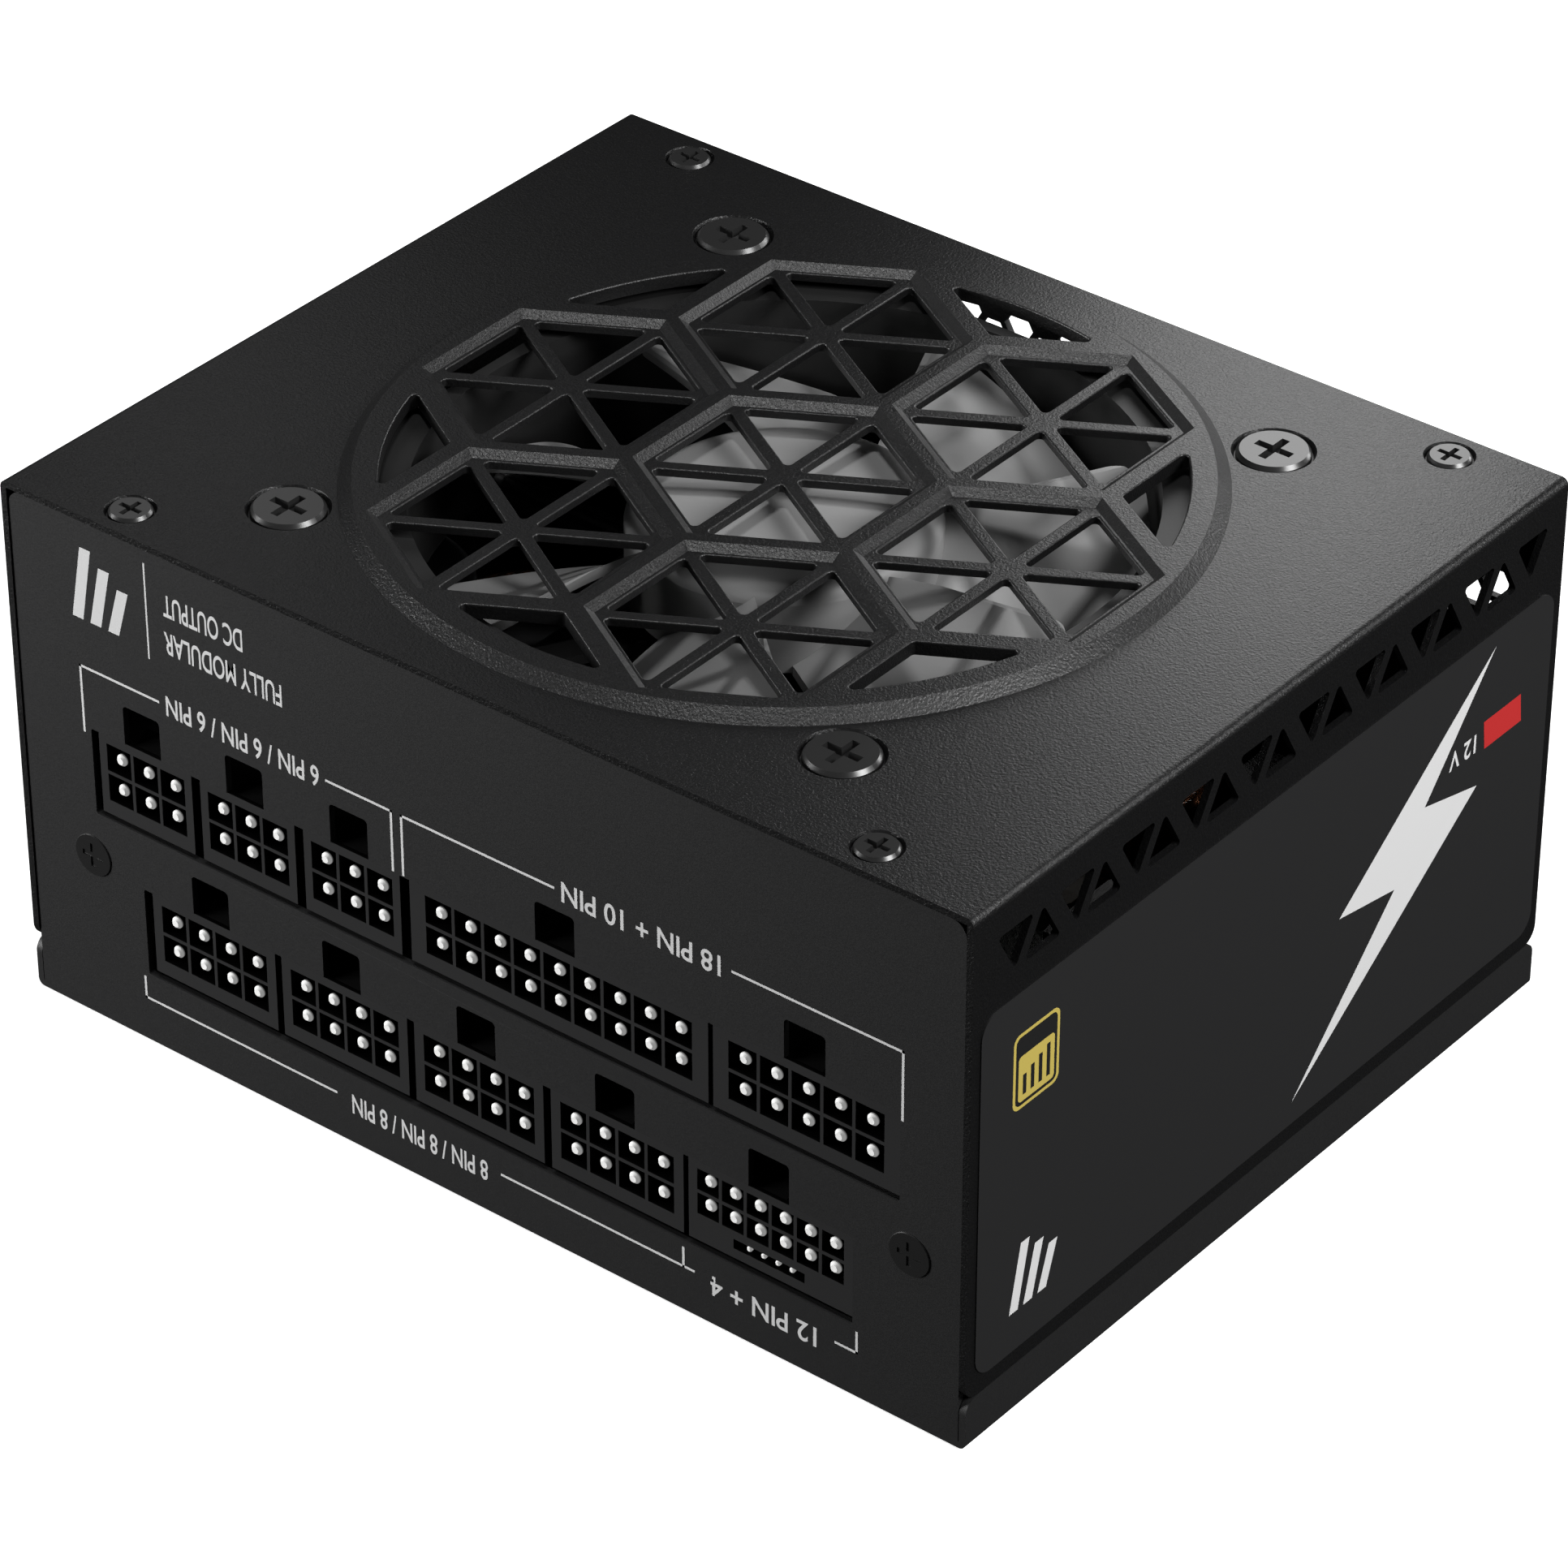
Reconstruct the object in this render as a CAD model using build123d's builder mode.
from build123d import *
import os
from math import cos, radians, sin, sqrt, tan

# Modular power supply unit of the SFX size, in millimetres.
# Frame: +Z up through the fan grille, +X towards the labelled side, the socket panel on the
# -Y face and the mains inlet on the +Y face. The origin is the middle of the base's underside.

# ---- driving dimensions -------------------------------------------------------------------
CASE_X = 125.0
CASE_Y = 100.0
CASE_Z = 63.5
SHEET = 0.8
HALF_X = CASE_X / 2
HALF_Y = CASE_Y / 2
GAP = 0.1                      # clearance between neighbouring sheets
LIP_TOP = 5.9                  # height of the lower case's side lips
COVER_BOTTOM = LIP_TOP + GAP
PANEL_FACE = HALF_Y - 0.15     # front and rear panels sit a little inside the cover's edge
PANEL_BACK = PANEL_FACE - SHEET
PANEL_TOP = CASE_Z - SHEET - GAP
PANEL_HALF_X = HALF_X - SHEET - GAP

# fan grille pressed into the cover
PLATEAU_Z = CASE_Z + 1.2
WEB_Z = CASE_Z + 0.5
WEB_UNDER_Z = CASE_Z - 0.4
RING_BASE_R = 45.6
RING_TOP_R = 44.1
RING_INNER_R = 43.0
CELL_PITCH = 28.6
CELL_RIDGE_R = CELL_PITCH / sqrt(3) - 0.8
CELL_FLOOR_R = CELL_PITCH / sqrt(3) - 1.9
CELL_HOLE_R = CELL_FLOOR_R - 0.45
SPOKE_WIDTH = 1.5
HOLE_CORNER_R = 0.5
OUTER_HOLE_R = 41.4
OUTER_BAR = 1.4
RIM_ROUND = 0.2

# triangular vents along the top of each side wall
VENT_BOTTOM = 54.4
VENT_HEIGHT = 5.0
VENT_START_Y = -46.3
VENT_PITCH = 9.7
VENT_PAIRS = 9
VENT_BASE = 5.7
VENT_UPRIGHT_START = 4.3

# screws
FAN_HOLE_HALF = 35.75          # 71.5 mm pattern of an 80 mm fan
FRONT_SCREW_XY = (48.0, 46.0)
REAR_SCREW_XY = (50.4, 46.2)
PANEL_SCREW_XZ = ((-52.8, 20.9), (55.4, 20.9))
MOUNT_HALF_X = 56.5            # rear mounting pattern, 113 x 51.5 mm
MOUNT_LOW_Z = 6.0
MOUNT_HIGH_Z = 57.5
MOUNT_HOLE_R = 1.4             # tapping hole for a 6-32 screw

# fan
FAN_SIZE = 80.0
FAN_TOP = 62.2
FAN_THICK = 15.0
FAN_BOTTOM = FAN_TOP - FAN_THICK
DUCT_R = 38.6
BLADE_R = 37.6
BLADE_COUNT = 7
BLADE_SPAN = 38.0              # degrees covered by one blade
BLADE_TOP = 60.4
BLADE_LOW = 50.2
BLADE_THICK = 1.3
BLADE_TIP_ANGLE = 1.0          # the first blade's upper edge at its tip
BLADE_ROOT_ANGLE = -11.0       # and at the hub
HUB_R = 16.5
HUB_TOP = 61.1
HUB_DOME_R = 14.3              # where the dome meets the hub's rounded edge
HUB_DOME_RISE = 0.5

# sockets: name, centre x, width, columns, pin pitch, centre z
ROW_HIGH_Z = 32.15
ROW_LOW_Z = 14.5
SOCKET_HEIGHT = 9.9
SOCKETS = (
    ("socket_6pin_1", -44.55, 13.0, 3, 3.78, ROW_HIGH_Z),
    ("socket_6pin_2", -30.35, 13.0, 3, 3.78, ROW_HIGH_Z),
    ("socket_6pin_3", -16.15, 13.0, 3, 3.78, ROW_HIGH_Z),
    ("socket_18pin", 10.95, 38.6, 9, 3.88, ROW_HIGH_Z),
    ("socket_10pin", 42.4, 23.1, 5, 3.93, ROW_HIGH_Z),
    ("socket_8pin_1", -36.1, 17.2, 4, 3.78, ROW_LOW_Z),
    ("socket_8pin_2", -18.0, 17.2, 4, 3.78, ROW_LOW_Z),
    ("socket_8pin_3", 0.15, 17.2, 4, 3.78, ROW_LOW_Z),
    ("socket_8pin_4", 18.35, 17.2, 4, 3.78, ROW_LOW_Z),
    ("socket_high_power", 37.95, 20.7, 6, 3.15, ROW_LOW_Z),
)
SOCKET_FACE_Y = -(PANEL_FACE - 0.2)
SOCKET_BACK_Y = -37.6
PIN_ROW_PITCH = 3.75
PIN_ROW_LIFT = 0.35            # the cells sit a little above the socket's middle
CELL_WALL = 0.4
PIN_R = 0.68
HIGH_POWER_LIFT = 1.2
HIGH_POWER_ROW_PITCH = 3.0
SENSE_Z = 11.3
SENSE_PITCH = 1.8
SENSE_R = 0.3
ROW_HIGH_CUT = (-51.9, 54.1, 26.6, 37.2)
ROW_LOW_CUT = (-45.7, 48.45, 8.75, 19.6)
NOTCH_WIDTH = 5.1
NOTCH_RISE = 4.8
LATCH_WIDTH = 3.4
LATCH_RISE = 1.1

# boards
BOARD_THICK = 1.6
MAIN_BOARD_Z = 6.0
MAIN_TOP_Z = MAIN_BOARD_Z + BOARD_THICK
MAIN_HALF_X = 59.0
MAIN_FRONT_Y = -34.0
MAIN_REAR_Y = 46.5
STANDOFF_XY = ((-54.0, -29.0), (54.0, -29.0), (-54.0, 43.0), (54.0, 43.0))
MODULAR_Y = SOCKET_BACK_Y
MODULAR_LOW_Z = 4.6
MODULAR_HIGH_Z = 42.0
MODULAR_HALF_X = 56.0

# mains side
INLET_X = -33.0
INLET_Z = 24.0
INLET_WIDTH = 27.0
INLET_HEIGHT = 19.6
INLET_SCREW_HALF = 20.0
SWITCH_X = 4.0
SWITCH_Z = 24.0
SWITCH_CUT = (13.2, 19.2)
ROCKER_PIVOT_Y = 48.0

MESH_PITCH = 4.0
MESH_FLATS = 3.3
MESH_BOTTOM_Z = 43.0

os.makedirs("parts", exist_ok=True)


def box_between(low, high, mode=Mode.ADD):
    """A box from its lowest corner to its highest, in the builder that is open."""
    size = [high[i] - low[i] for i in range(3)]
    middle = [(high[i] + low[i]) / 2 for i in range(3)]
    with Locations(tuple(middle)):
        Box(*size, mode=mode)


def rod(start, direction, radius, length, mode=Mode.ADD):
    """A cylinder that runs from start along direction, in the builder that is open."""
    with BuildSketch(Plane(origin=start, z_dir=direction)) as section:
        Circle(radius)
    extrude(section.sketch, amount=length, mode=mode)


def phillips_recess(centre, direction, span, depth):
    """A cross recess cut into a screw head."""
    with BuildSketch(Plane(origin=centre, z_dir=direction)) as cross:
        Rectangle(span, span * 0.22)
        Rectangle(span * 0.22, span)
    extrude(cross.sketch, amount=-depth, taper=8, mode=Mode.SUBTRACT)


cell_centres = [(0.0, 0.0)]
for step in range(6):
    cell_centres.append((CELL_PITCH * cos(radians(60 * step)), CELL_PITCH * sin(radians(60 * step))))

fan_screw_points = [(sx * FAN_HOLE_HALF, sy * FAN_HOLE_HALF) for sx in (-1, 1) for sy in (-1, 1)]
cover_screw_points = [(sx * FRONT_SCREW_XY[0], -FRONT_SCREW_XY[1]) for sx in (-1, 1)]
cover_screw_points += [(sx * REAR_SCREW_XY[0], REAR_SCREW_XY[1]) for sx in (-1, 1)]

# ---- top cover: one bent sheet, with the pressed grille and the side vents -----------------
FAN_DISH_R = 4.45
FAN_HEAD_R = 3.95
FAN_DISH_DEPTH = 0.75
SMALL_DISH_R = 2.75
SMALL_HEAD_R = 2.35
SMALL_DISH_DEPTH = 0.6

with BuildPart() as top_cover:
    box_between((-HALF_X, -HALF_Y, COVER_BOTTOM), (HALF_X, HALF_Y, CASE_Z))
    fillet(top_cover.edges().filter_by(Axis.Y).group_by(Axis.Z)[-1], 0.9)
    box_between((-HALF_X + SHEET, -HALF_Y, COVER_BOTTOM), (HALF_X - SHEET, HALF_Y, CASE_Z - SHEET),
                mode=Mode.SUBTRACT)
    fillet(top_cover.edges().filter_by(Axis.X).group_by(Axis.Z)[0].filter_by(
        lambda e: abs(e.length - SHEET) < 0.01), 2.0)
    # raised ring with sloping side, hollow underneath
    with BuildSketch(Plane.XY.offset(CASE_Z)):
        Circle(RING_BASE_R)
    with BuildSketch(Plane.XY.offset(PLATEAU_Z)):
        Circle(RING_TOP_R)
    loft(ruled=True)
    with BuildSketch(Plane.XY.offset(CASE_Z - SHEET)):
        Circle(RING_INNER_R)
    extrude(amount=WEB_UNDER_Z - (CASE_Z - SHEET), mode=Mode.SUBTRACT)
    # seven hexagonal recesses with sloping walls
    for cx, cy in cell_centres:
        with BuildSketch(Plane((cx, cy, PLATEAU_Z))):
            RegularPolygon(CELL_RIDGE_R, 6, rotation=30)
        with BuildSketch(Plane((cx, cy, WEB_Z))):
            RegularPolygon(CELL_FLOOR_R, 6, rotation=30)
        loft(ruled=True, mode=Mode.SUBTRACT)
    # six triangular holes between the spokes of each cell
    with BuildSketch(Plane.XY.offset(WEB_UNDER_Z - 1)) as spoke_holes:
        with Locations(*cell_centres):
            RegularPolygon(CELL_HOLE_R, 6, rotation=30)
        for turn in (30, 90, 150):
            with Locations(*cell_centres):
                Rectangle(2 * CELL_HOLE_R + 1, SPOKE_WIDTH, rotation=turn, mode=Mode.SUBTRACT)
        fillet(spoke_holes.vertices(), HOLE_CORNER_R)
    extrude(amount=4, mode=Mode.SUBTRACT)
    # six holes between the outer cells and the ring
    with BuildSketch(Plane.XY.offset(WEB_UNDER_Z - 1)) as outer_holes:
        Circle(OUTER_HOLE_R)
        with Locations(*cell_centres):
            RegularPolygon(CELL_PITCH / sqrt(3) + OUTER_BAR / cos(radians(30)), 6, rotation=30,
                           mode=Mode.SUBTRACT)
        fillet(outer_holes.vertices(), HOLE_CORNER_R)
    extrude(amount=4, mode=Mode.SUBTRACT)
    # rounded rims of all the grille holes
    hole_rims = top_cover.edges().filter_by_position(Axis.Z, WEB_Z - 0.001, WEB_Z + 0.001)
    fillet([e for e in hole_rims if abs(e.length - CELL_FLOOR_R) > 0.01
            and e.length < 2 * CELL_HOLE_R], RIM_ROUND)
    outer_rims = top_cover.edges().filter_by_position(Axis.Z, PLATEAU_Z - 0.001, PLATEAU_Z + 0.001)
    fillet([e for e in outer_rims if abs(e.length - CELL_RIDGE_R) > 0.01
            and e.length < 2 * CELL_HOLE_R], RIM_ROUND)
    # dished seats for the fan screws and the cover screws, with their clearance holes
    for points, dish, head, depth, boss, hole in (
            (fan_screw_points, FAN_DISH_R, FAN_HEAD_R, FAN_DISH_DEPTH, 5.3, 2.2),
            (cover_screw_points, SMALL_DISH_R, SMALL_HEAD_R, SMALL_DISH_DEPTH, 2.82, 1.6)):
        with BuildSketch(Plane.XY.offset(CASE_Z - SHEET - depth + 0.3)):
            with Locations(*points):
                Circle(boss)
        extrude(amount=depth)
        for px, py in points:
            with BuildSketch(Plane((px, py, CASE_Z))):
                Circle(dish)
            with BuildSketch(Plane((px, py, CASE_Z - depth))):
                Circle(head + 0.15)
            loft(ruled=True, mode=Mode.SUBTRACT)
        with BuildSketch(Plane.XY.offset(CASE_Z - 4)):
            with Locations(*points):
                Circle(hole)
        extrude(amount=5, mode=Mode.SUBTRACT)
    # triangular vents, cut through both side walls
    with BuildSketch(Plane.YZ.offset(-HALF_X - 1)) as vents:
        for k in range(VENT_PAIRS + 1):
            y0 = VENT_START_Y + k * VENT_PITCH
            top = VENT_BOTTOM + VENT_HEIGHT
            with BuildLine():
                Polyline((y0, top), (y0 + VENT_BASE, top), (y0 + VENT_BASE / 2, VENT_BOTTOM), close=True)
            make_face()
            if k < VENT_PAIRS:
                y1 = y0 + VENT_UPRIGHT_START
                with BuildLine():
                    Polyline((y1, VENT_BOTTOM), (y1 + VENT_BASE, VENT_BOTTOM),
                             (y1 + VENT_BASE / 2, top), close=True)
                make_face()
        fillet(vents.vertices(), 0.4)
    extrude(amount=CASE_X + 2, mode=Mode.SUBTRACT)
top_cover.part.label = "top_cover"
export_step(top_cover.part, "parts/top_cover.step")

# ---- lower case: base, side lips, socket panel and rear panel of one bent sheet -------------
with BuildPart() as lower_case:
    box_between((-HALF_X, -PANEL_FACE, 0), (HALF_X, PANEL_FACE, LIP_TOP))
    fillet(lower_case.edges().filter_by(Axis.Y).group_by(Axis.Z)[0], 0.8)
    fillet(lower_case.edges().filter_by(Axis.X).group_by(Axis.Z)[-1], 1.6)
    box_between((-HALF_X + SHEET, -PANEL_FACE - 1, SHEET), (HALF_X - SHEET, PANEL_FACE + 1, LIP_TOP + 1),
                mode=Mode.SUBTRACT)
    for side in (-1, 1):
        low_y = min(side * PANEL_FACE, side * PANEL_BACK)
        box_between((-PANEL_HALF_X, low_y, SHEET), (PANEL_HALF_X, low_y + SHEET, PANEL_TOP))
    fillet(lower_case.edges().filter_by(Axis.Y).group_by(Axis.Z)[-1], 1.8)
    box_between((-PANEL_HALF_X, -PANEL_FACE, 0.4), (PANEL_HALF_X, PANEL_FACE, SHEET))
    # folded tabs that the cover screws thread into
    for px, py in cover_screw_points:
        wall_y = PANEL_BACK * (1 if py > 0 else -1)
        inner_y = wall_y - 9 * (1 if py > 0 else -1)
        box_between((px - 6, min(wall_y, inner_y), 61.2), (px + 6, max(wall_y, inner_y), 62.4))
    with BuildSketch(Plane.XY.offset(58)):
        with Locations(*cover_screw_points):
            Circle(1.45)
    extrude(amount=4.5, mode=Mode.SUBTRACT)
    # socket cut-outs with a latch notch above each socket
    with BuildSketch(Plane.XZ.offset(PANEL_BACK - 1)):
        for left, right, low, high in (ROW_HIGH_CUT, ROW_LOW_CUT):
            with Locations(((left + right) / 2, (low + high) / 2)):
                RectangleRounded(right - left, high - low, 0.3)
        for name, x, width, columns, pitch, z in SOCKETS:
            cut_top = ROW_HIGH_CUT[3] if z == ROW_HIGH_Z else ROW_LOW_CUT[3]
            with Locations((x, cut_top + NOTCH_RISE / 2 - 1)):
                RectangleRounded(NOTCH_WIDTH, NOTCH_RISE + 2, 0.5)
        with Locations(*PANEL_SCREW_XZ):
            Circle(1.6)
    extrude(amount=3, mode=Mode.SUBTRACT)
    # rear panel: inlet and switch cut-outs, mounting holes and the hexagonal mesh
    with BuildSketch(Plane.XZ.offset(-PANEL_FACE - 1)):
        with Locations((INLET_X, INLET_Z)):
            Rectangle(INLET_WIDTH + 0.4, INLET_HEIGHT + 0.4)
        with Locations((INLET_X - INLET_SCREW_HALF, INLET_Z), (INLET_X + INLET_SCREW_HALF, INLET_Z)):
            Circle(1.75)
        with Locations((SWITCH_X, SWITCH_Z)):
            Rectangle(SWITCH_CUT[0] + 0.2, SWITCH_CUT[1] + 0.2)
        mesh_points = []
        column_step = MESH_PITCH * sqrt(3) / 2
        for i in range(-16, 17):
            for j in range(9, 15):
                x = i * column_step
                z = 4.5 + j * MESH_PITCH + (i % 2) * MESH_PITCH / 2
                below_mesh = z < MESH_BOTTOM_Z
                near_mount = abs(x) > 52 and z > 50
                near_tab = abs(abs(x) - REAR_SCREW_XY[0]) < 8.5 and z > 57
                if z < 58.5 and not (below_mesh or near_mount or near_tab):
                    mesh_points.append((x, z))
        with Locations(*mesh_points):
            RegularPolygon(MESH_FLATS / 2, 6, major_radius=False)
    extrude(amount=3, mode=Mode.SUBTRACT)
    mount_points = [(sx * MOUNT_HALF_X, z) for sx in (-1, 1) for z in (MOUNT_LOW_Z, MOUNT_HIGH_Z)]
    with BuildSketch(Plane.XZ.offset(-PANEL_BACK)):
        with Locations(*mount_points):
            Circle(2.6)
    extrude(amount=1.6)
    with BuildSketch(Plane.XZ.offset(-PANEL_FACE - 1)):
        with Locations(*mount_points):
            Circle(MOUNT_HOLE_R)
    extrude(amount=5, mode=Mode.SUBTRACT)
    with BuildSketch(Plane.XY.offset(-1)):
        with Locations(*STANDOFF_XY):
            Circle(1.9)
    extrude(amount=3, mode=Mode.SUBTRACT)
lower_case.part.label = "lower_case"
export_step(lower_case.part, "parts/lower_case.step")


# ---- screws ---------------------------------------------------------------------------------
def screw(point, direction, head_radius, head_height, shank_radius, length, span):
    """A round-headed cross-recess screw; point is the underside of the head."""
    round_r = head_height * 0.45
    start = Vector(point)
    outward = Vector(direction)
    rod(start, outward, head_radius, head_height - round_r)
    with BuildSketch(Plane(origin=start + outward * (head_height - round_r), z_dir=direction)) as shoulder:
        Circle(head_radius)
    extrude(shoulder.sketch, amount=round_r, taper=40)
    rod(start, -outward, shank_radius, length)
    phillips_recess(start + outward * head_height, direction, span, head_height * 0.9)


fan_head_seat = CASE_Z - FAN_DISH_DEPTH
with BuildPart() as fan_screws:
    for px, py in fan_screw_points:
        screw((px, py, fan_head_seat), (0, 0, 1), FAN_HEAD_R, 0.95, 1.9, 9.0, 4.4)
fan_screws.part.label = "fan_screws"
export_step(fan_screws.part, "parts/fan_screws.step")

with BuildPart() as cover_screws:
    for px, py in cover_screw_points:
        screw((px, py, CASE_Z - SMALL_DISH_DEPTH), (0, 0, 1), SMALL_HEAD_R, 0.75, 1.4, 3.2, 2.8)
cover_screws.part.label = "cover_screws"
export_step(cover_screws.part, "parts/cover_screws.step")


# ---- labels -----------------------------------------------------------------------------------
LABEL_THICK = 0.12
with BuildPart() as side_label:
    with BuildSketch(Plane.YZ.offset(HALF_X)):
        with Locations((0.05, 29.55)):
            RectangleRounded(97.3, 43.1, 2.5)
    extrude(amount=LABEL_THICK)
side_label.part.label = "side_label"
export_step(side_label.part, "parts/side_label.step")

with BuildPart() as rating_label:
    with BuildSketch(Plane.YZ.offset(-HALF_X)):
        with Locations((0, 29.55)):
            RectangleRounded(84, 38, 2.5)
    extrude(amount=-LABEL_THICK)
rating_label.part.label = "rating_label"
export_step(rating_label.part, "parts/rating_label.step")

# ---- fan --------------------------------------------------------------------------------------
FLANGE = 3.0
STRUT_HEIGHT = 1.2
BEARING_R = 3.2
SHAFT_R = 1.5
LEAD_Z = FAN_BOTTOM + STRUT_HEIGHT + 0.62
LEAD_R = 0.55

with BuildPart() as fan_frame:
    for z in (FAN_BOTTOM, FAN_TOP - FLANGE):
        with BuildSketch(Plane.XY.offset(z)):
            RectangleRounded(FAN_SIZE, FAN_SIZE, 5)
            Circle(DUCT_R, mode=Mode.SUBTRACT)
            with Locations(*fan_screw_points):
                Circle(2.0, mode=Mode.SUBTRACT)
        extrude(amount=FLANGE)
    with BuildSketch(Plane.XY.offset(FAN_BOTTOM)):
        Circle(DUCT_R + 1.3)
        Circle(DUCT_R, mode=Mode.SUBTRACT)
    extrude(amount=FAN_THICK)
    box_between((-FAN_SIZE / 2 - 1, -1.2, FAN_BOTTOM + STRUT_HEIGHT),
                (-DUCT_R + 2, 1.2, FAN_BOTTOM + STRUT_HEIGHT + 2), mode=Mode.SUBTRACT)
fan_frame.part.label = "fan_frame"
export_step(fan_frame.part, "parts/fan_frame.step")

# the spider that holds the motor across the bottom of the duct
with BuildPart() as fan_spider:
    with BuildSketch(Plane.XY.offset(FAN_BOTTOM)):
        Circle(15)
        for turn in (0, 60, 120):
            Rectangle(2 * DUCT_R + 1, 3, rotation=turn)
        Circle(DUCT_R, mode=Mode.INTERSECT)
    extrude(amount=STRUT_HEIGHT)
    with BuildSketch(Plane.XY.offset(FAN_BOTTOM)):
        Circle(BEARING_R + 0.9)
    extrude(amount=9.5)
    with BuildSketch(Plane.XY.offset(FAN_BOTTOM + 0.8)):
        Circle(BEARING_R)
    extrude(amount=12, mode=Mode.SUBTRACT)
fan_spider.part.label = "fan_spider"
export_step(fan_spider.part, "parts/fan_spider.step")


def swept_angle(radius):
    """Angle of a blade's upper edge at this radius, in degrees."""
    share = (radius - HUB_R) / (BLADE_R - HUB_R)
    return BLADE_ROOT_ANGLE + share * (BLADE_TIP_ANGLE - BLADE_ROOT_ANGLE)


def polar(radius, angle):
    return (radius * cos(radians(angle)), radius * sin(radians(angle)))


with BuildPart() as fan_blade:
    middle_angle = (BLADE_TIP_ANGLE + BLADE_ROOT_ANGLE - BLADE_SPAN) / 2
    for distance in (12, 26, 40):
        high_t = distance * tan(radians(swept_angle(distance) - middle_angle))
        low_t = distance * tan(radians(swept_angle(distance) - BLADE_SPAN - middle_angle))
        ox, oy = polar(distance, middle_angle)
        out_x, out_y = polar(1, middle_angle)
        plane = Plane(origin=(ox, oy, 0), x_dir=(-out_y, out_x, 0), z_dir=(out_x, out_y, 0))
        mid_t = (high_t + low_t) / 2
        mid_z = (BLADE_TOP + BLADE_LOW) / 2 - 1.0
        half = BLADE_THICK / 2
        with BuildSketch(plane):
            with BuildLine():
                upper = ThreePointArc((low_t - 2, BLADE_LOW - 1 + half), (mid_t, mid_z + half),
                                      (high_t + 2, BLADE_TOP + half))
                lower = ThreePointArc((low_t - 2, BLADE_LOW - 1 - half), (mid_t, mid_z - half),
                                      (high_t + 2, BLADE_TOP - half))
                Line(upper @ 0, lower @ 0)
                Line(upper @ 1, lower @ 1)
            make_face()
    loft()
    with BuildSketch(Plane.XY.offset(BLADE_LOW)) as outline:
        root_r = HUB_R - 1.2
        corner_root = polar(root_r, swept_angle(root_r))
        corner_tip = polar(BLADE_R, BLADE_TIP_ANGLE)
        far_tip = polar(BLADE_R, BLADE_TIP_ANGLE - BLADE_SPAN)
        far_root = polar(root_r, swept_angle(root_r) - BLADE_SPAN)
        with BuildLine():
            ThreePointArc(corner_root, polar(26, swept_angle(26) + 2), corner_tip)
            ThreePointArc(corner_tip, polar(BLADE_R, BLADE_TIP_ANGLE - BLADE_SPAN / 2), far_tip)
            ThreePointArc(far_tip, polar(26, swept_angle(26) + 2 - BLADE_SPAN), far_root)
            ThreePointArc(far_root, polar(root_r, swept_angle(root_r) - BLADE_SPAN / 2), corner_root)
        make_face()
        fillet(outline.vertices().filter_by(lambda v: v.X ** 2 + v.Y ** 2 > 35 ** 2), 3.0)
    extrude(amount=BLADE_TOP - BLADE_LOW, mode=Mode.INTERSECT)

with BuildPart() as fan_rotor:
    with BuildSketch(Plane.XZ):
        with BuildLine():
            Polyline((SHAFT_R, 57.0), (3.6, 57.0), (3.6, 58.6), (14.5, 58.6), (14.5, 50.6),
                     (HUB_R, 50.6), (HUB_R, 58.6))
            ThreePointArc((HUB_R, 58.6), (15.8, 60.0), (HUB_DOME_R, HUB_TOP - HUB_DOME_RISE))
            dome_radius = (HUB_DOME_R ** 2 + HUB_DOME_RISE ** 2) / (2 * HUB_DOME_RISE)
            middle_drop = dome_radius - sqrt(dome_radius ** 2 - (HUB_DOME_R / 2) ** 2)
            ThreePointArc((HUB_DOME_R, HUB_TOP - HUB_DOME_RISE), (HUB_DOME_R / 2, HUB_TOP - middle_drop),
                          (0, HUB_TOP))
            Polyline((0, HUB_TOP), (0, 60.2), (SHAFT_R, 60.2), (SHAFT_R, 57.0))
        make_face()
    revolve(axis=Axis.Z)
    with PolarLocations(0, BLADE_COUNT):
        add(fan_blade.part)
fan_rotor.part.label = "fan_rotor"
export_step(fan_rotor.part, "parts/fan_rotor.step")


def tube_ring(outer, inner, low, high):
    """A plain ring about the fan's axis, in the builder that is open."""
    with BuildSketch(Plane.XY.offset(low)) as ring:
        Circle(outer)
        Circle(inner, mode=Mode.SUBTRACT)
    extrude(ring.sketch, amount=high - low)


with BuildPart() as fan_shaft:
    rod((0, 0, FAN_BOTTOM + 1.2), (0, 0, 1), SHAFT_R, 60.2 - FAN_BOTTOM - 1.2)
fan_shaft.part.label = "fan_shaft"
export_step(fan_shaft.part, "parts/fan_shaft.step")

with BuildPart() as sleeve_bearing:
    tube_ring(BEARING_R, SHAFT_R + 0.03, FAN_BOTTOM + 0.8, FAN_BOTTOM + 9.3)
sleeve_bearing.part.label = "sleeve_bearing"
export_step(sleeve_bearing.part, "parts/sleeve_bearing.step")

with BuildPart() as rotor_yoke:
    tube_ring(14.5, 13.7, 50.8, 58.6)
rotor_yoke.part.label = "rotor_yoke"
export_step(rotor_yoke.part, "parts/rotor_yoke.step")

with BuildPart() as rotor_magnet:
    tube_ring(13.7, 12.4, 51.2, 57.8)
rotor_magnet.part.label = "rotor_magnet"
export_step(rotor_magnet.part, "parts/rotor_magnet.step")

with BuildPart() as fan_stator:
    with BuildSketch(Plane.XY.offset(52.6)):
        Circle(6)
        for turn in (45, 135):
            Rectangle(22, 2.6, rotation=turn)
        with PolarLocations(0, 4, start_angle=45):
            with Locations((10.6, 0)):
                Rectangle(1.6, 12)
        Circle(12.0, mode=Mode.INTERSECT)
        Circle(BEARING_R + 0.9, mode=Mode.SUBTRACT)
    extrude(amount=3.6)
fan_stator.part.label = "fan_stator"
export_step(fan_stator.part, "parts/fan_stator.step")

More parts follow.
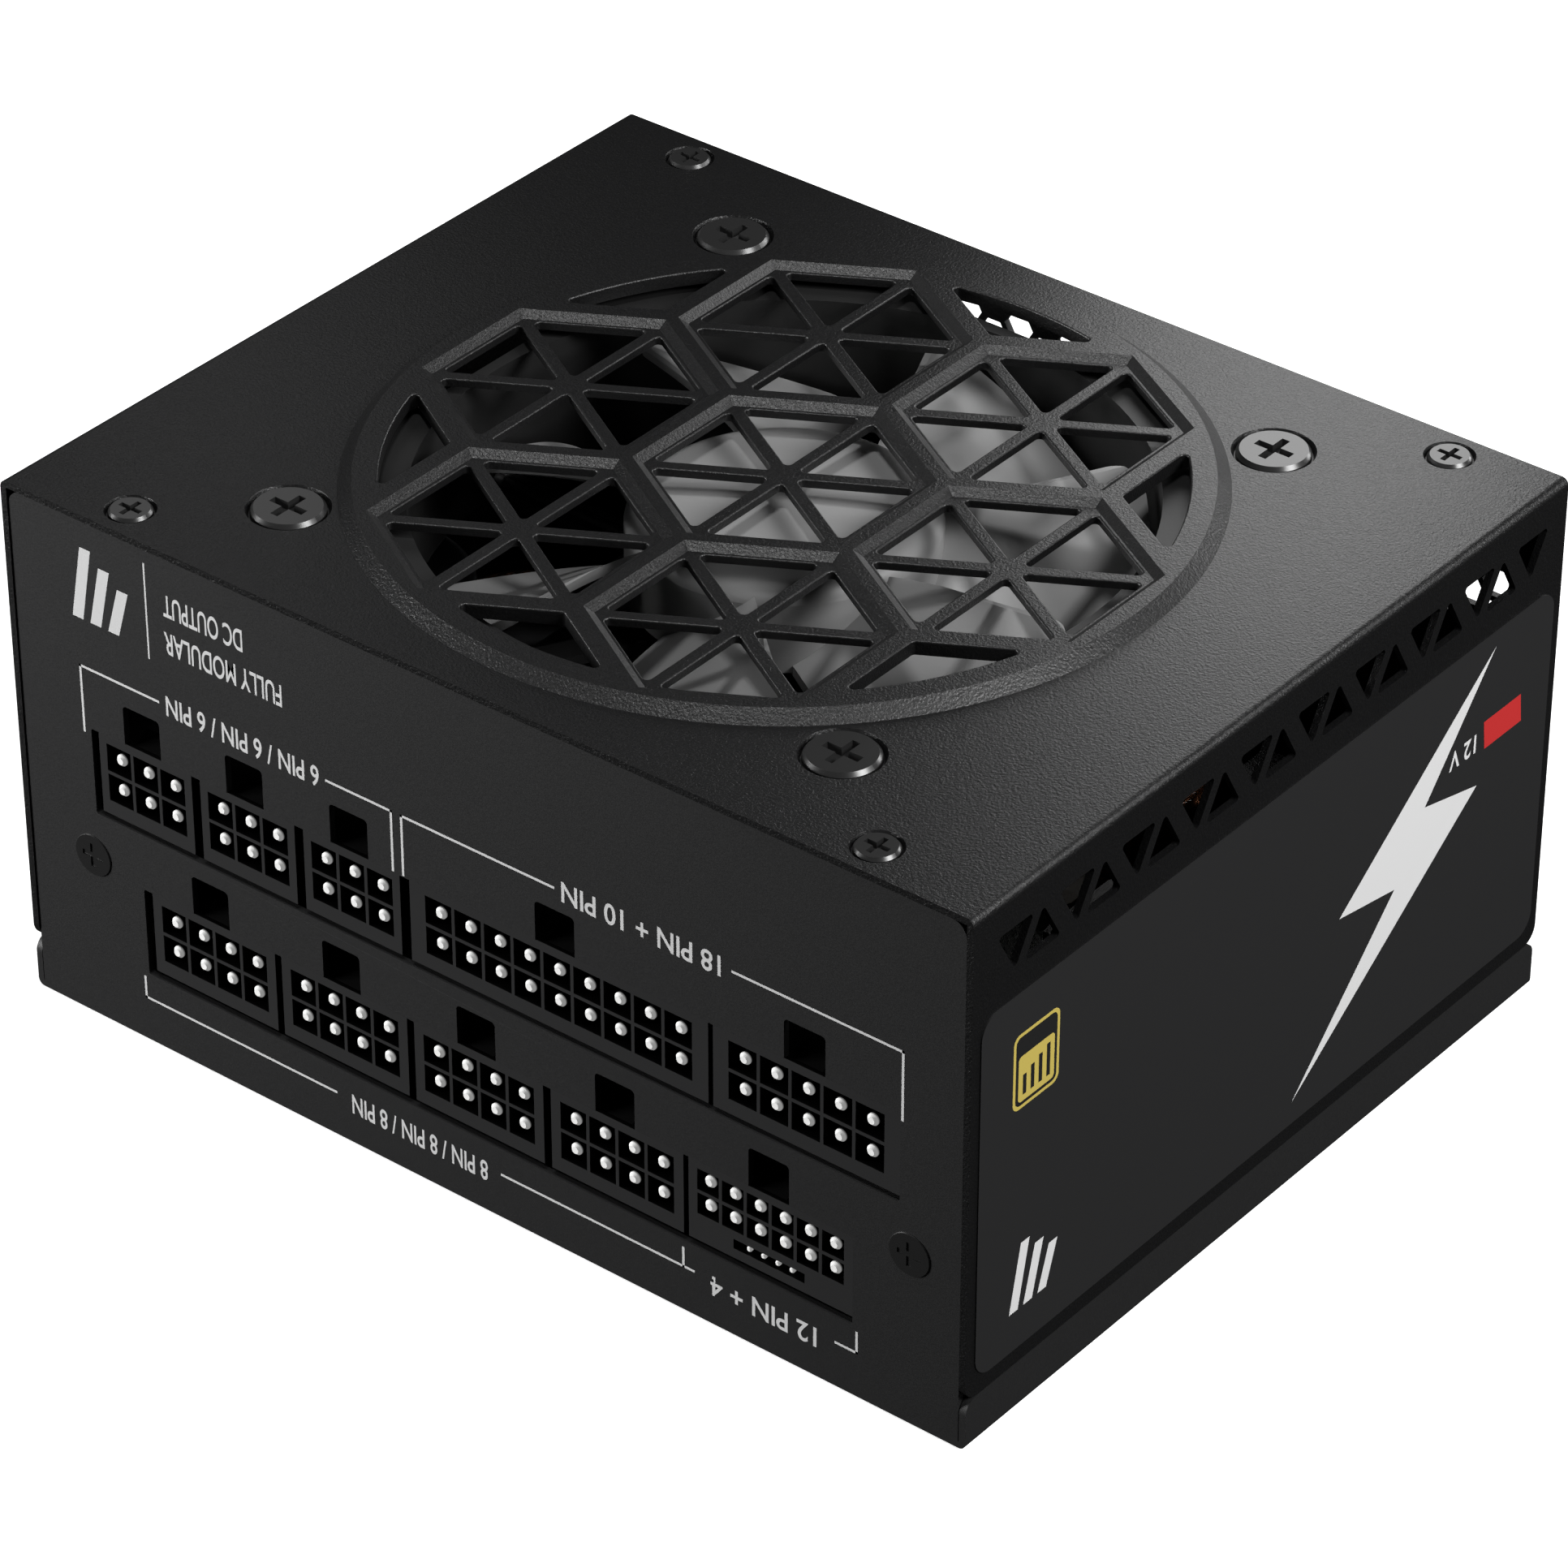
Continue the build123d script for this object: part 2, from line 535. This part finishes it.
with BuildPart() as stator_coils:
    with BuildSketch(Plane.XY.offset(51.4)):
        with PolarLocations(0, 4, start_angle=45):
            with Locations((7.9, 0)):
                Rectangle(3.2, 5.6)
    extrude(amount=6.0)
    with BuildSketch(Plane.XY.offset(52.6)):
        for turn in (45, 135):
            Rectangle(24, 2.6, rotation=turn)
    extrude(amount=3.6, mode=Mode.SUBTRACT)
stator_coils.part.label = "stator_coils"
export_step(stator_coils.part, "parts/stator_coils.step")

with BuildPart() as fan_board:
    tube_ring(12.0, BEARING_R + 0.95, 49.8, 50.6)
    with BuildSketch(Plane.XY.offset(50.6)):
        with Locations((0, 8)):
            Rectangle(4, 3)
    extrude(amount=0.7)
fan_board.part.label = "fan_board"
export_step(fan_board.part, "parts/fan_board.step")


def lay_wire(points, bend_radius, wire_radius):
    """A round wire along straight runs with rounded corners, in the builder that is open."""
    with BuildLine() as route:
        FilletPolyline(*points, radius=bend_radius)
    with BuildSketch(Plane(origin=route.line @ 0, z_dir=route.line % 0)) as section:
        Circle(wire_radius)
    sweep(section.sketch, path=route.line)


with BuildPart() as fan_lead:
    for shift in (-0.6, 0.6):
        lay_wire(((-11.0, shift, LEAD_Z), (-57.0, shift, LEAD_Z), (-57.0, shift, MAIN_TOP_Z)),
                 4.0, LEAD_R)
fan_lead.part.label = "fan_lead"
export_step(fan_lead.part, "parts/fan_lead.step")


# ---- sockets and their pins ---------------------------------------------------------------------
def pin_columns(x, columns, pitch):
    return [x + (i - (columns - 1) / 2) * pitch for i in range(columns)]


def pin_rows(name, z):
    high_power = name == "socket_high_power"
    lift = HIGH_POWER_LIFT if high_power else PIN_ROW_LIFT
    pitch = HIGH_POWER_ROW_PITCH if high_power else PIN_ROW_PITCH
    return [z + lift - pitch / 2, z + lift + pitch / 2], pitch


CELL_DEPTH = 10.0
PIN_HOLE_R = PIN_R + 0.03
sense_points = [(SOCKETS[-1][1] - 0.15 + (i - 1.5) * SENSE_PITCH, SENSE_Z) for i in range(4)]
high_pins = []
low_pins = []
for name, x, width, columns, pitch, z in SOCKETS:
    rows, row_pitch = pin_rows(name, z)
    centres = [(px, pz) for px in pin_columns(x, columns, pitch) for pz in rows]
    if z == ROW_HIGH_Z:
        high_pins += centres
    else:
        low_pins += centres
    top_z = z + SOCKET_HEIGHT / 2
    with BuildPart() as socket:
        box_between((x - width / 2, SOCKET_FACE_Y, z - SOCKET_HEIGHT / 2),
                    (x + width / 2, SOCKET_BACK_Y, top_z))
        with BuildSketch(Plane.XZ.offset(-SOCKET_FACE_Y - CELL_DEPTH)):
            with Locations(*centres):
                Rectangle(pitch - CELL_WALL, row_pitch - CELL_WALL)
            if name == "socket_high_power":
                with Locations((x - 0.15, SENSE_Z)):
                    Rectangle(9.0, 1.2)
        extrude(amount=CELL_DEPTH + 1, mode=Mode.SUBTRACT)
        with BuildSketch(Plane.XZ.offset(-SOCKET_BACK_Y - 1)):
            with Locations(*centres):
                Circle(PIN_HOLE_R)
            if name == "socket_high_power":
                with Locations(*sense_points):
                    Circle(SENSE_R + 0.03)
        extrude(amount=4, mode=Mode.SUBTRACT)
        # ramp that the plug's latch snaps over
        with BuildSketch(Plane.YZ.offset(x - LATCH_WIDTH / 2)):
            with BuildLine():
                Polyline((SOCKET_FACE_Y + 0.5, top_z), (SOCKET_FACE_Y + 2.4, top_z + LATCH_RISE),
                         (SOCKET_FACE_Y + 3.4, top_z + LATCH_RISE), (SOCKET_FACE_Y + 3.4, top_z),
                         close=True)
            make_face()
        extrude(amount=LATCH_WIDTH)
    socket.part.label = name
    export_step(socket.part, f"parts/{name}.step")

PIN_TIP_Y = SOCKET_FACE_Y + 0.15
PIN_TAIL_Y = MODULAR_Y + BOARD_THICK + 1.0


def contact_pins(points, radius):
    """Straight pins with rounded tips, in the builder that is open."""
    round_r = radius * 0.45
    with BuildSketch(Plane.XZ.offset(-PIN_TAIL_Y)) as shanks:
        with Locations(*points):
            Circle(radius)
    extrude(shanks.sketch, amount=PIN_TAIL_Y - PIN_TIP_Y - round_r)
    with BuildSketch(Plane.XZ.offset(-PIN_TIP_Y - round_r)) as tips:
        with Locations(*points):
            Circle(radius)
    extrude(tips.sketch, amount=round_r, taper=42)


with BuildPart() as upper_row_pins:
    contact_pins(high_pins, PIN_R)
upper_row_pins.part.label = "upper_row_pins"
export_step(upper_row_pins.part, "parts/upper_row_pins.step")

with BuildPart() as lower_row_pins:
    contact_pins(low_pins, PIN_R)
    contact_pins(sense_points, SENSE_R)
lower_row_pins.part.label = "lower_row_pins"
export_step(lower_row_pins.part, "parts/lower_row_pins.step")

# ---- boards -----------------------------------------------------------------------------------
with BuildPart() as modular_board:
    with BuildSketch(Plane.XZ.offset(-MODULAR_Y - BOARD_THICK)):
        with Locations((0, (MODULAR_LOW_Z + MODULAR_HIGH_Z) / 2)):
            Rectangle(2 * MODULAR_HALF_X, MODULAR_HIGH_Z - MODULAR_LOW_Z)
        with Locations(*(high_pins + low_pins)):
            Circle(PIN_HOLE_R, mode=Mode.SUBTRACT)
        with Locations(*sense_points):
            Circle(SENSE_R + 0.03, mode=Mode.SUBTRACT)
        with Locations(*PANEL_SCREW_XZ):
            Circle(1.6, mode=Mode.SUBTRACT)
    extrude(amount=BOARD_THICK)
modular_board.part.label = "modular_board"
export_step(modular_board.part, "parts/modular_board.step")

with BuildPart() as board_spacers:
    with BuildSketch(Plane.XZ.offset(-SOCKET_BACK_Y)):
        with Locations(*PANEL_SCREW_XZ):
            RegularPolygon(2.75, 6, major_radius=False)
            Circle(1.45, mode=Mode.SUBTRACT)
    extrude(amount=PANEL_BACK + SOCKET_BACK_Y)
board_spacers.part.label = "board_spacers"
export_step(board_spacers.part, "parts/board_spacers.step")

with BuildPart() as main_board:
    with BuildSketch(Plane.XY.offset(MAIN_BOARD_Z)):
        with Locations((0, (MAIN_FRONT_Y + MAIN_REAR_Y) / 2)):
            RectangleRounded(2 * MAIN_HALF_X, MAIN_REAR_Y - MAIN_FRONT_Y, 1.5)
        with Locations(*STANDOFF_XY):
            Circle(1.6, mode=Mode.SUBTRACT)
    extrude(amount=BOARD_THICK)
main_board.part.label = "main_board"
export_step(main_board.part, "parts/main_board.step")

with BuildPart() as board_insulator:
    with BuildSketch(Plane.XY.offset(SHEET)):
        with Locations((0, 6)):
            RectangleRounded(116, 80, 3)
        with Locations(*STANDOFF_XY):
            Circle(3.6, mode=Mode.SUBTRACT)
    extrude(amount=0.4)
board_insulator.part.label = "board_insulator"
export_step(board_insulator.part, "parts/board_insulator.step")

with BuildPart() as standoffs:
    for z, radius, height in ((0.05, 1.85, 0.75), (SHEET, 2.7, MAIN_BOARD_Z - SHEET)):
        with BuildSketch(Plane.XY.offset(z)):
            with Locations(*STANDOFF_XY):
                Circle(radius)
        extrude(amount=height)
    with BuildSketch(Plane.XY.offset(0)):
        with Locations(*STANDOFF_XY):
            Circle(1.45)
    extrude(amount=MAIN_BOARD_Z + 1, mode=Mode.SUBTRACT)
standoffs.part.label = "standoffs"
export_step(standoffs.part, "parts/standoffs.step")

with BuildPart() as board_screws:
    for px, py in STANDOFF_XY:
        screw((px, py, MAIN_TOP_Z), (0, 0, 1), 2.7, 1.9, 1.4, 6.0, 2.8)
board_screws.part.label = "board_screws"
export_step(board_screws.part, "parts/board_screws.step")

# ---- mains inlet and switch -------------------------------------------------------------------
OUTSIDE_Y = PANEL_FACE
FLANGE_OUT = 1.8
BLADE_XZ = ((INLET_X - 7, INLET_Z - 1.5), (INLET_X, INLET_Z + 2.0), (INLET_X + 7, INLET_Z - 1.5))
INLET_SCREWS = ((INLET_X - INLET_SCREW_HALF, INLET_Z), (INLET_X + INLET_SCREW_HALF, INLET_Z))

with BuildPart() as ac_inlet:
    with BuildSketch(Plane.XZ.offset(-OUTSIDE_Y - FLANGE_OUT)):
        with Locations((INLET_X, INLET_Z)):
            RectangleRounded(50.0, 22.4, 3)
    extrude(amount=FLANGE_OUT)
    with BuildSketch(Plane.XZ.offset(-OUTSIDE_Y)):
        with Locations((INLET_X, INLET_Z)):
            Rectangle(INLET_WIDTH, INLET_HEIGHT)
    extrude(amount=18.5)
    with BuildSketch(Plane.XZ.offset(-OUTSIDE_Y - FLANGE_OUT)) as cavity:
        with Locations((INLET_X, INLET_Z)):
            Rectangle(23.8, 16.2)
        chamfer(cavity.vertices().group_by(Axis.Y)[-1], 4.0)
    extrude(amount=17, mode=Mode.SUBTRACT)
    with BuildSketch(Plane.XZ.offset(-OUTSIDE_Y - FLANGE_OUT - 1)):
        with Locations(*BLADE_XZ):
            Rectangle(2.1, 4.1)
        with Locations(*INLET_SCREWS):
            Circle(1.75)
    extrude(amount=25, mode=Mode.SUBTRACT)
    for px, pz in INLET_SCREWS:
        with BuildSketch(Plane.XZ.offset(-OUTSIDE_Y - FLANGE_OUT) * Pos(px, pz, 0)) as wide:
            Circle(3.2)
        with BuildSketch(Plane.XZ.offset(-OUTSIDE_Y - 0.3) * Pos(px, pz, 0)) as narrow:
            Circle(1.75)
        loft([wide.sketch, narrow.sketch], ruled=True, mode=Mode.SUBTRACT)
ac_inlet.part.label = "ac_inlet"
export_step(ac_inlet.part, "parts/ac_inlet.step")

with BuildPart() as inlet_blades:
    with BuildSketch(Plane.XZ.offset(-OUTSIDE_Y + 1.2)) as blade_ends:
        with Locations(*BLADE_XZ):
            Rectangle(2.0, 4.0)
    extrude(amount=20.0)
    chamfer(inlet_blades.edges().group_by(Axis.Y)[-1], 0.5)
    with BuildSketch(Plane.XZ.offset(-OUTSIDE_Y + 21.2)):
        with Locations(*BLADE_XZ):
            Rectangle(0.8, 4.0)
    extrude(amount=1.5)
inlet_blades.part.label = "inlet_blades"
export_step(inlet_blades.part, "parts/inlet_blades.step")

with BuildPart() as panel_screws:
    for px, pz in PANEL_SCREW_XZ:
        screw((px, -PANEL_FACE, pz), (0, -1, 0), 2.5, 0.14, 1.4, 6.0, 2.9)
    for px, pz in INLET_SCREWS:
        with BuildSketch(Plane.XZ.offset(-OUTSIDE_Y - FLANGE_OUT) * Pos(px, pz, 0)) as wide:
            Circle(3.1)
        with BuildSketch(Plane.XZ.offset(-OUTSIDE_Y - 0.35) * Pos(px, pz, 0)) as narrow:
            Circle(1.5)
        loft([wide.sketch, narrow.sketch], ruled=True)
        rod((px, OUTSIDE_Y + 0.4, pz), (0, -1, 0), 1.5, 7.0)
        phillips_recess((px, OUTSIDE_Y + FLANGE_OUT, pz), (0, 1, 0), 3.2, 1.2)
panel_screws.part.label = "panel_screws"
export_step(panel_screws.part, "parts/panel_screws.step")

BEZEL_OUT = 1.6
ROCKER_HALF_X = 5.3
ROCKER_HALF_Z = 7.6
ROCKER_TILT = 10.0
PIVOT_R = 1.2
with BuildPart() as switch_body:
    with BuildSketch(Plane.XZ.offset(-OUTSIDE_Y - BEZEL_OUT)):
        with Locations((SWITCH_X, SWITCH_Z)):
            RectangleRounded(15.2, 21.2, 1.2)
    extrude(amount=BEZEL_OUT)
    with BuildSketch(Plane.XZ.offset(-OUTSIDE_Y)):
        with Locations((SWITCH_X, SWITCH_Z)):
            Rectangle(SWITCH_CUT[0], SWITCH_CUT[1])
    extrude(amount=16.0)
    with BuildSketch(Plane.XZ.offset(-OUTSIDE_Y - BEZEL_OUT - 1)):
        with Locations((SWITCH_X, SWITCH_Z)):
            Rectangle(11.2, 17.0)
    extrude(amount=BEZEL_OUT + 1 + 10.5, mode=Mode.SUBTRACT)
    rod((SWITCH_X - 6.3, ROCKER_PIVOT_Y, SWITCH_Z), (1, 0, 0), PIVOT_R + 0.05, 12.6, mode=Mode.SUBTRACT)
    with BuildSketch(Plane.XZ.offset(-OUTSIDE_Y + 17)):
        with Locations((SWITCH_X, SWITCH_Z - 5), (SWITCH_X, SWITCH_Z + 5)):
            Rectangle(4.9, 0.9)
    extrude(amount=-6, mode=Mode.SUBTRACT)
switch_body.part.label = "switch_body"
export_step(switch_body.part, "parts/switch_body.step")

with BuildPart() as switch_rocker:
    tilt = radians(ROCKER_TILT)
    rocker_plane = Plane(origin=(SWITCH_X - ROCKER_HALF_X, ROCKER_PIVOT_Y, SWITCH_Z),
                         x_dir=(0, cos(tilt), sin(tilt)), z_dir=(1, 0, 0))
    with BuildSketch(rocker_plane):
        with BuildLine():
            ThreePointArc((3.4, -ROCKER_HALF_Z), (2.5, 0), (3.4, ROCKER_HALF_Z))
            Polyline((3.4, ROCKER_HALF_Z), (-0.6, ROCKER_HALF_Z - 0.6), (-1.2, 4.6))
            ThreePointArc((-1.2, 4.6), (-3.4, 0), (-1.2, -4.6))
            Polyline((-1.2, -4.6), (-0.6, 0.6 - ROCKER_HALF_Z), (3.4, -ROCKER_HALF_Z))
        make_face()
    extrude(amount=2 * ROCKER_HALF_X)
    rod((SWITCH_X - 6.2, ROCKER_PIVOT_Y, SWITCH_Z), (1, 0, 0), PIVOT_R, 12.4)
switch_rocker.part.label = "switch_rocker"
export_step(switch_rocker.part, "parts/switch_rocker.step")

with BuildPart() as switch_terminals:
    with BuildSketch(Plane.XZ.offset(-OUTSIDE_Y + 13)):
        with Locations((SWITCH_X, SWITCH_Z - 5), (SWITCH_X, SWITCH_Z + 5)):
            Rectangle(4.8, 0.8)
    extrude(amount=11)
switch_terminals.part.label = "switch_terminals"
export_step(switch_terminals.part, "parts/switch_terminals.step")

# ---- components on the main board --------------------------------------------------------------
with BuildPart() as bulk_capacitor:
    rod((-43, -18, MAIN_TOP_Z), (0, 0, 1), 12.5, 36)
    fillet(bulk_capacitor.edges().group_by(Axis.Z)[-1], 1.0)
    with BuildSketch(Plane.XY.offset(MAIN_TOP_Z + 2.5)):
        with Locations((-43, -18)):
            Circle(13)
            Circle(12, mode=Mode.SUBTRACT)
    extrude(amount=1.0, mode=Mode.SUBTRACT)
bulk_capacitor.part.label = "bulk_capacitor"
export_step(bulk_capacitor.part, "parts/bulk_capacitor.step")


def toroid(centre, outer, inner, low, high):
    """A ring about a vertical axis through centre, in the builder that is open."""
    with BuildSketch(Plane((centre[0], centre[1], low))) as ring:
        Circle(outer)
        Circle(inner, mode=Mode.SUBTRACT)
    extrude(ring.sketch, amount=high - low)


CHOKE_XY = (-42.0, 9.2)
with BuildPart() as pfc_choke_core:
    toroid(CHOKE_XY, 12.5, 7.5, 10.0, 21.0)
pfc_choke_core.part.label = "pfc_choke_core"
export_step(pfc_choke_core.part, "parts/pfc_choke_core.step")

with BuildPart() as pfc_choke_winding:
    toroid(CHOKE_XY, 14.4, 5.6, MAIN_TOP_Z, 23.2)
    fillet(pfc_choke_winding.edges().filter_by(GeomType.CIRCLE), 1.8)
    toroid_cut = Plane((CHOKE_XY[0], CHOKE_XY[1], 10.0))
    with BuildSketch(toroid_cut):
        Circle(12.5)
        Circle(7.5, mode=Mode.SUBTRACT)
    extrude(amount=11.0, mode=Mode.SUBTRACT)
    box_between((CHOKE_XY[0] - 1.5, CHOKE_XY[1] - 15, MAIN_TOP_Z), (CHOKE_XY[0] + 1.5, CHOKE_XY[1] - 5, 24),
                mode=Mode.SUBTRACT)
pfc_choke_winding.part.label = "pfc_choke_winding"
export_step(pfc_choke_winding.part, "parts/pfc_choke_winding.step")

TRAFO_XY = (6.0, 2.0)
with BuildPart() as transformer_core:
    box_between((TRAFO_XY[0] - 16, TRAFO_XY[1] - 7, 9), (TRAFO_XY[0] + 16, TRAFO_XY[1] + 7, 39))
    box_between((TRAFO_XY[0] - 12.5, TRAFO_XY[1] - 8, 13.5), (TRAFO_XY[0] + 12.5, TRAFO_XY[1] + 8, 34.5),
                mode=Mode.SUBTRACT)
    rod((TRAFO_XY[0], TRAFO_XY[1], 13), (0, 0, 1), 5.5, 22)
transformer_core.part.label = "transformer_core"
export_step(transformer_core.part, "parts/transformer_core.step")

with BuildPart() as transformer_winding:
    toroid(TRAFO_XY, 11.6, 5.6, 14.5, 33.5)
    for low, high in ((13.6, 14.5), (33.5, 34.4)):
        toroid(TRAFO_XY, 12.3, 5.6, low, high)
    for side in (-1, 1):
        for i in range(4):
            x = TRAFO_XY[0] - 7.5 + 5 * i
            y = TRAFO_XY[1] + side * 8.6
            box_between((x - 0.5, y - 0.5, MAIN_TOP_Z), (x + 0.5, y + 0.5, 14.0))
transformer_winding.part.label = "transformer_winding"
export_step(transformer_winding.part, "parts/transformer_winding.step")

with BuildPart() as standby_transformer:
    box_between((33, 1, MAIN_TOP_Z), (47, 14, 21))
    fillet(standby_transformer.edges().filter_by(Axis.Z), 1.5)
    box_between((31.5, 3.5, 9.5), (48.5, 11.5, 19))
standby_transformer.part.label = "standby_transformer"
export_step(standby_transformer.part, "parts/standby_transformer.step")

with BuildPart() as primary_heatsink:
    box_between((-19.5, -26, MAIN_TOP_Z), (-16.5, 14, 44))
    for i in range(7):
        z = 14 + 4.5 * i
        box_between((-25.5, -26, z), (-19.5, 14, z + 1.2))
primary_heatsink.part.label = "primary_heatsink"
export_step(primary_heatsink.part, "parts/primary_heatsink.step")

with BuildPart() as power_transistors:
    for y in (-21, -9, 3):
        box_between((-16.5, y - 5, 17), (-12.1, y + 5, 33))
        for shift in (-2.5, 0, 2.5):
            box_between((-14.6, y + shift - 0.4, MAIN_TOP_Z), (-13.8, y + shift + 0.4, 17))
power_transistors.part.label = "power_transistors"
export_step(power_transistors.part, "parts/power_transistors.step")

with BuildPart() as bridge_rectifier:
    box_between((-21.5, 22, 10.5), (0.5, 25.6, 27))
    for x in (-18.5, -13, -7.5, -2.5):
        box_between((x - 0.6, 23.4, MAIN_TOP_Z), (x + 0.6, 24.2, 10.5))
bridge_rectifier.part.label = "bridge_rectifier"
export_step(bridge_rectifier.part, "parts/bridge_rectifier.step")

with BuildPart() as secondary_heatsink:
    box_between((24, -24, MAIN_TOP_Z), (25.5, -2, 32))
    for y in (-24, -16.9, -9.8, -3.2):
        box_between((25.5, y, 9), (30, y + 1.2, 32))
secondary_heatsink.part.label = "secondary_heatsink"
export_step(secondary_heatsink.part, "parts/secondary_heatsink.step")

with BuildPart() as output_capacitors:
    for i in range(6):
        rod((-8.4 + 8.6 * i, -29.2, MAIN_TOP_Z), (0, 0, 1), 4.0, 12)
    for i in range(3):
        rod((-7.5 + 9.4 * i, -18, MAIN_TOP_Z), (0, 0, 1), 4.0, 16)
    fillet(output_capacitors.edges().filter_by(GeomType.CIRCLE).filter_by(
        lambda e: e.arc_center.Z > MAIN_TOP_Z + 1), 0.6)
output_capacitors.part.label = "output_capacitors"
export_step(output_capacitors.part, "parts/output_capacitors.step")

with BuildPart() as output_choke:
    toroid((42, -14), 8.8, 3.6, MAIN_TOP_Z, 18.0)
    fillet(output_choke.edges().filter_by(GeomType.CIRCLE), 1.5)
output_choke.part.label = "output_choke"
export_step(output_choke.part, "parts/output_choke.step")

with BuildPart() as common_mode_choke:
    toroid((22, 35), 9.0, 4.0, 9.4, 20.0)
    fillet(common_mode_choke.edges().filter_by(GeomType.CIRCLE), 1.5)
    box_between((12.5, 25.8, MAIN_TOP_Z), (31.5, 44.2, 9.6))
common_mode_choke.part.label = "common_mode_choke"
export_step(common_mode_choke.part, "parts/common_mode_choke.step")

with BuildPart() as x_capacitor:
    box_between((34, 33, MAIN_TOP_Z), (58, 39.5, 24))
    fillet(x_capacitor.edges().filter_by(Axis.Z), 0.8)
x_capacitor.part.label = "x_capacitor"
export_step(x_capacitor.part, "parts/x_capacitor.step")

with BuildPart() as y_capacitors:
    for x in (38, 48):
        rod((x, 24.5, 13.6), (0, 1, 0), 3.9, 2.6)
        for shift in (-2.5, 2.5):
            box_between((x + shift - 0.3, 25.5, MAIN_TOP_Z), (x + shift + 0.3, 26.1, 12))
y_capacitors.part.label = "y_capacitors"
export_step(y_capacitors.part, "parts/y_capacitors.step")

with BuildPart() as fuse:
    rod((2, 22, 11.0), (1, 0, 0), 2.3, 20)
    for x in (2, 17):
        rod((x, 22, 11.0), (1, 0, 0), 2.6, 5)
        box_between((x + 1.5, 21.6, MAIN_TOP_Z), (x + 2.3, 22.4, 9))
fuse.part.label = "fuse"
export_step(fuse.part, "parts/fuse.step")

with BuildPart() as control_board:
    box_between((54, -24, MAIN_TOP_Z), (55.2, 6, 34))
    for y, z, size in ((-18, 14, 5), (-8, 20, 7), (0, 13, 4), (-14, 27, 4)):
        box_between((52.6, y - size / 2, z - size / 2), (54, y + size / 2, z + size / 2))
control_board.part.label = "control_board"
export_step(control_board.part, "parts/control_board.step")

with BuildPart() as busbars:
    for x in (-22, 0, 24):
        box_between((x - 5, MODULAR_Y + BOARD_THICK, 22.0), (x + 5, MODULAR_Y + BOARD_THICK + 0.8, 24.6))
        box_between((x - 5, MODULAR_Y + BOARD_THICK, 23.8), (x + 5, -33.4, 24.6))
        box_between((x - 5, -34.2, MAIN_TOP_Z), (x + 5, -33.4, 24.6))
busbars.part.label = "busbars"
export_step(busbars.part, "parts/busbars.step")

WIRE_R = 1.1
with BuildPart() as mains_wires:
    for px, pz in BLADE_XZ:
        tab_y = OUTSIDE_Y - 22.7
        lay_wire(((px, tab_y, pz), (px, tab_y - 1.8, pz), (px, tab_y - 1.8, MAIN_TOP_Z)), 1.5, WIRE_R)
mains_wires.part.label = "mains_wires"
export_step(mains_wires.part, "parts/mains_wires.step")
